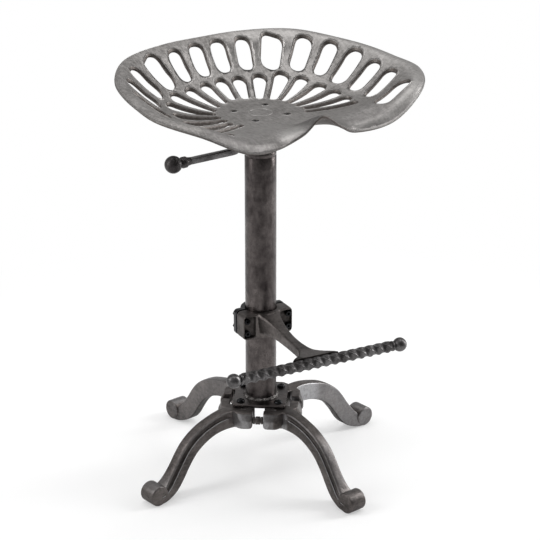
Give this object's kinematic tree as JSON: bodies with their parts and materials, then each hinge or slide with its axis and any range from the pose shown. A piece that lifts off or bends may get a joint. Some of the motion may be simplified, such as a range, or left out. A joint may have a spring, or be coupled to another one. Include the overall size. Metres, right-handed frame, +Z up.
{
  "type": "tractor seat stool",
  "caption": "Height-adjustable stool with an openwork cast bucket seat, gas lift with side lever, round column, clamped twisted-bar footrest and cast S-legs with scroll feet.",
  "frame": {"origin": "on the floor, under the axis of the column", "axes": "+Z up along the column; the sitter faces -Y; the release lever is on -X, the sitter's right"},
  "size_m": [0.5006, 0.4852, 0.698],
  "materials": {
    "seat_iron": "burnished warm grey, satin",
    "base_iron": "dark gunmetal, satin",
    "forged_steel": "dark gunmetal, satin",
    "column_steel": "brown-grey, brushed, clear coated",
    "black_steel": "black, semi-gloss",
    "bright_steel": "ground",
    "black_plastic": "matt"
  },
  "bodies": {
    "base": {"column_tube": "column_steel", "base_plate": "column_steel", "weld_bead": "column_steel", "column_ring": "black_plastic", "guide_bush": "black_plastic", "piston_rod": "bright_steel", "rod_clip": "bright_steel", "base_bolt_1": "black_steel", "base_bolt_2": "black_steel", "base_bolt_3": "black_steel", "base_bolt_4": "black_steel", "leg_1": "base_iron", "leg_2": "base_iron", "leg_3": "base_iron", "leg_4": "base_iron", "tie_bolt_1": "base_iron", "tie_bolt_2": "base_iron", "tie_bolt_3": "base_iron", "tie_bolt_4": "base_iron"},
    "lift": {"gas_cylinder": "bright_steel"},
    "valve": {"valve_button": "black_plastic"},
    "seat": {"seat_pan": "seat_iron", "mount_plate": "black_steel", "lever_pin": "bright_steel", "seat_screw_1": "black_steel", "seat_screw_2": "black_steel", "seat_screw_3": "black_steel", "seat_screw_4": "black_steel", "seat_nut_1": "black_steel", "seat_nut_2": "black_steel", "seat_nut_3": "black_steel", "seat_nut_4": "black_steel"},
    "lever": {"lever_rod": "forged_steel", "lever_ball": "forged_steel"},
    "footrest": {"clamp_front": "base_iron", "clamp_back": "black_steel", "footrest_bar": "forged_steel", "footrest_ball_left": "forged_steel", "footrest_ball_right": "forged_steel", "clamp_bolt_1": "black_steel", "clamp_bolt_2": "black_steel", "clamp_bolt_3": "black_steel", "clamp_bolt_4": "black_steel", "clamp_nut_1": "black_steel", "clamp_nut_2": "black_steel", "clamp_nut_3": "black_steel", "clamp_nut_4": "black_steel"}
  },
  "joints": [
    {"name": "seat_lift", "type": "slide", "parent": "base", "child": "lift", "axis": [0, 0, 1], "range_m": [0, 0.15]},
    {"name": "valve_press", "type": "slide", "parent": "lift", "child": "valve", "axis": [0, 0, -1], "range_m": [0, 0.003], "stiffness_N_per_m": 300},
    {"name": "seat_swivel", "type": "hinge", "parent": "lift", "child": "seat", "pos_m": [0, 0, 0.6], "axis": [0, 0, 1], "continuous": true},
    {"name": "lever_lift", "type": "hinge", "parent": "seat", "child": "lever", "pos_m": [-0.024, 0, 0.5928], "axis": [0, 1, 0], "range_deg": [0, 6], "stiffness_Nm_per_rad": 2},
    {"name": "footrest_slide", "type": "slide", "parent": "base", "child": "footrest", "axis": [0, 0, 1], "range_m": [-0.06, 0.15]}
  ],
  "couplings": [
    {"joint": "valve_press", "follows": "lever_lift", "m_per_rad": 0.027}
  ]
}
